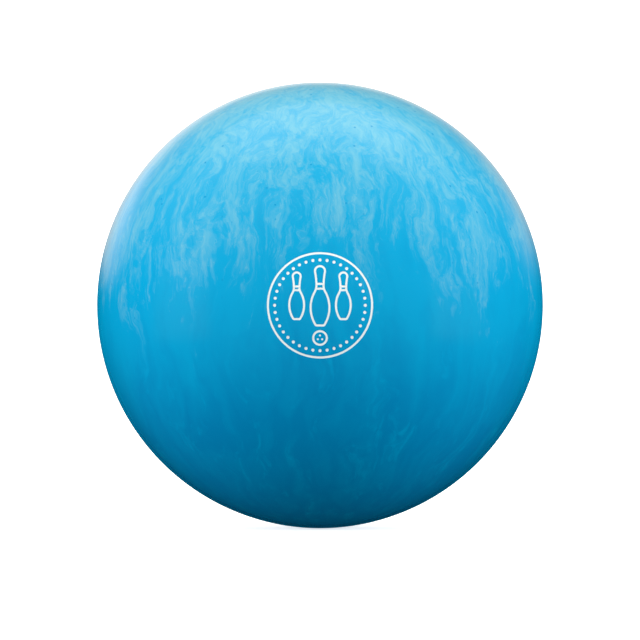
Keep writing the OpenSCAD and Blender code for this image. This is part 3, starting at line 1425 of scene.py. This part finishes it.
def studio_floor():
    """A pale floor that sweeps up into a backdrop behind the ball."""
    ground = -BALL_RADIUS
    bend = FLOOR_REACH - FLOOR_SWEEP
    rows = [(-FLOOR_REACH, ground), (bend, ground)]
    for i in range(1, SWEEP_STEPS + 1):
        turn = math.radians(90 * i / SWEEP_STEPS)
        rows.append((bend + FLOOR_SWEEP * math.sin(turn), ground + FLOOR_SWEEP * (1 - math.cos(turn))))
    rows.append((FLOOR_REACH, ground + BACKDROP_HEIGHT))
    places = [(x, y, z) for y, z in rows for x in (-FLOOR_REACH, FLOOR_REACH)]
    faces = [(2 * i, 2 * i + 1, 2 * i + 3, 2 * i + 2) for i in range(len(rows) - 1)]
    mesh = bpy.data.meshes.new("studio_floor")
    mesh.from_pydata(places, [], faces)
    mesh.polygons.foreach_set("use_smooth", [True] * len(faces))
    material, _, surface = new_material("studio_white", FLOOR_WHITE)
    surface.inputs["Base Color"].default_value = opaque(FLOOR_WHITE)
    surface.inputs["Roughness"].default_value = 0.9
    surface.inputs["Specular IOR Level"].default_value = 0.1
    surface.inputs["Emission Color"].default_value = (1.0, 1.0, 1.0, 1.0)
    surface.inputs["Emission Strength"].default_value = FLOOR_GLOW
    mesh.materials.append(material)
    floor = bpy.data.objects.new("studio_floor", mesh)
    bpy.context.collection.objects.link(floor)
    floor.visible_diffuse = False
    floor.visible_glossy = False


def mirrored_wall(tree, side, back, up):
    """A pale wall behind the ball, brightest low down on the left and along the far rim."""
    behind = graded(tree, back, 0.45, 0.9)
    over_horizon = graded(tree, up, 0.0, 0.3)
    dimmed_above = graded(tree, up, 0.2, 0.45, 1.0, 0.35)
    dimmed_right = graded(tree, side, -0.4, 0.4, 1.0, 0.35)
    far_behind = graded(tree, back, 0.94, 1.0)
    close_over_horizon = graded(tree, up, 0.0, 0.12)
    wall = product(tree, behind, over_horizon, dimmed_above)
    rim = product(tree, far_behind, close_over_horizon)
    return product(tree, calc(tree, "MULTIPLY_ADD", rim, MIRRORED_RIM, wall), dimmed_right)


def mirrored_ceiling(tree, back, up):
    """A soft ceiling over the ball and behind it."""
    overhead = graded(tree, up, 0.62, 0.95)
    towards_back = graded(tree, back, -0.25, 0.25)
    return product(tree, overhead, towards_back)


def mirrored_dusk(tree, back, up):
    """A band of dim blue along the horizon behind the ball, which keeps its outline blue."""
    behind = graded(tree, back, 0.5, 0.95)
    below_horizon = graded(tree, up, -0.3, 0.0)
    gone_above = graded(tree, up, 0.05, 0.3, 1.0, 0.0)
    return product(tree, behind, below_horizon, gone_above)


def studio_world(scene):
    """Surroundings: a soft dome that lights the ball from above, and what its polish mirrors."""
    world = bpy.data.worlds.new("studio_surroundings")
    world.use_nodes = True
    world.cycles.sampling_method = "NONE"
    scene.world = world
    tree = world.node_tree
    tree.nodes.clear()
    side, back, up = split(tree, put(tree, "ShaderNodeTexCoord").outputs["Generated"])
    dome = graded(tree, up, -0.9, 1.0, DOME_BELOW, DOME_ABOVE, smooth=False)
    tint = blended(tree, graded(tree, up, 0.0, 0.8), LEVEL_TINT, ABOVE_TINT)

    wall = mirrored_wall(tree, side, back, up)
    lit = calc(tree, "MULTIPLY_ADD", mirrored_ceiling(tree, back, up), MIRRORED_CEILING, wall)
    dusky = calc(tree, "MULTIPLY_ADD", mirrored_dusk(tree, back, up), MIRRORED_DUSK, lit)
    mirrored = calc(tree, "ADD", dusky, MIRRORED_DARK)
    mirrored_tint = blended(tree, graded(tree, lit, 0.0, 0.2), DUSK_TINT, tint)

    mirror_ray = put(tree, "ShaderNodeLightPath").outputs["Is Glossy Ray"]
    strength = put(
        tree, "ShaderNodeMix", {"data_type": "FLOAT"}, in_0=mirror_ray, in_2=dome, in_3=mirrored
    ).outputs[0]
    color = blended(tree, mirror_ray, tint, mirrored_tint)
    background = put(tree, "ShaderNodeBackground", color=color, strength=strength)
    output = tree.nodes.new("ShaderNodeOutputWorld")
    tree.links.new(background.outputs[0], output.inputs["Surface"])


def studio_camera(context, distance):
    """A camera level with the ball's centre, framing it by its outline."""
    camera = bpy.data.objects.new("camera", bpy.data.cameras.new("camera"))
    context.collection.objects.link(camera)
    camera.location = (0.0, -distance, 0.0)
    camera.rotation_euler = (math.pi / 2, 0.0, 0.0)
    outline = math.tan(math.asin(BALL_RADIUS / distance))
    camera.data.lens = camera.data.sensor_width * BALL_SHARE_OF_FRAME / (2 * outline)
    camera.data.shift_y = FRAME_SHIFT
    camera.data.clip_end = CAMERA_SEES_TO
    context.scene.camera = camera


class BALL_OT_studio(bpy.types.Operator):
    """Set up the floor, surroundings, lights and camera"""

    bl_idname = "ball.studio"
    bl_label = "Studio"

    def execute(self, context):
        look = settings(context).studio
        studio_floor()
        studio_world(context.scene)
        soft_light("overhead_softbox", OVERHEAD_PLACE, OVERHEAD_SIZE, look.top_power)
        for name, x in (("left_softbox", -SIDE_DISTANCE), ("right_softbox", SIDE_DISTANCE)):
            light = soft_light(name, (x, SIDE_FORWARD, SIDE_HEIGHT), SIDE_SIZE, look.side_power)
            light.visible_glossy = False
        studio_camera(context, look.camera_distance)
        context.scene.view_settings.view_transform = "Standard"
        return {"FINISHED"}


class BALL_PT_panel(bpy.types.Panel):
    """Lists the ball's settings and the steps that build it"""

    bl_idname = "BALL_PT_panel"
    bl_label = "Bowling Ball"
    bl_space_type = "VIEW_3D"
    bl_region_type = "UI"
    bl_category = "Bowling Ball"

    def draw(self, context):
        layout = self.layout
        ball = settings(context)
        groups = {"Engraving": ball.engraving, "Resin": ball.resin, "Studio": ball.studio}
        for title, group in groups.items():
            box = layout.box()
            box.label(text=title)
            for name in group.bl_rna.properties.keys():
                if name not in ("rna_type", "name"):
                    box.prop(group, name)
        column = layout.column()
        for step in STEPS:
            column.operator(step.bl_idname)


STEPS = (
    BALL_OT_coverstock,
    BALL_OT_locator_pin,
    BALL_OT_emblem_paint,
    BALL_OT_cg_mark,
    BALL_OT_core_finish,
    BALL_OT_studio,
)
CLASSES = (EngravingSizes, ResinLook, StudioLook, BowlingBallSettings, *STEPS, BALL_PT_panel)


def register():
    """Adds the settings, the operators and the panel to Blender."""
    for item in CLASSES:
        bpy.utils.register_class(item)
    bpy.types.Scene.bowling_ball = bpy.props.PointerProperty(type=BowlingBallSettings)


def unregister():
    """Takes them out again."""
    del bpy.types.Scene.bowling_ball
    for item in reversed(CLASSES):
        bpy.utils.unregister_class(item)


def main():
    """Builds the whole ball and its studio."""
    register()
    bpy.ops.ball.coverstock()
    bpy.ops.ball.locator_pin()
    bpy.ops.ball.emblem_paint()
    bpy.ops.ball.cg_mark()
    bpy.ops.ball.core_finish()
    bpy.ops.ball.studio()


if __name__ == "__main__":
    main()
